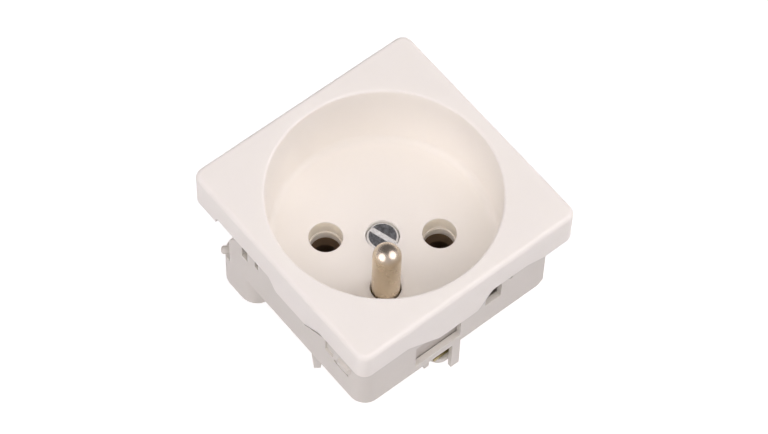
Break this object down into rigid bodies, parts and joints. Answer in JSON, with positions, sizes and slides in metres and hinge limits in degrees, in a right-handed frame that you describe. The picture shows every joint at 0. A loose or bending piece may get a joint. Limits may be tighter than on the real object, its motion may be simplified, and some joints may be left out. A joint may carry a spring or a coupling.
{
  "type": "wall socket",
  "caption": "Square snap-in wall socket module with a round plug recess, pin holes, a standing earth pin and rear screwless terminals.",
  "frame": {"origin": "centre of the bounding box's bottom, under the middle of the face, at the rear of the contact towers", "axes": "+Z out of the face, towards the plug; +X and +Y along the sides of the square"},
  "size_m": [0.045, 0.045, 0.036],
  "materials": {
    "cover_plastic": "satin moulded, warm white",
    "base_plastic": "satin moulded, warm light grey",
    "cap_plastic": "satin moulded, warm light grey",
    "zinc_steel": "zinc plated",
    "nickel": "nickel plated brass",
    "brass_strip": "stamped",
    "contact_bronze": "stamped, dull",
    "spring_steel": "hardened strip"
  },
  "bodies": {
    "root": {"front_cover": "cover_plastic", "base_housing": "base_plastic", "centre_screw": "zinc_steel", "centre_nut": "zinc_steel", "earth_pin": "nickel", "earth_strap": "brass_strip", "earth_clamp_spring": "spring_steel", "earth_terminal_cap": "cap_plastic", "line_busbar": "brass_strip", "line_contact_sleeve": "contact_bronze", "line_contact_ring": "spring_steel", "line_clamp_spring": "spring_steel", "line_terminal_cap": "cap_plastic", "neutral_busbar": "brass_strip", "neutral_contact_sleeve": "contact_bronze", "neutral_contact_ring": "spring_steel", "neutral_clamp_spring": "spring_steel", "neutral_terminal_cap": "cap_plastic"}
  },
  "joints": []
}
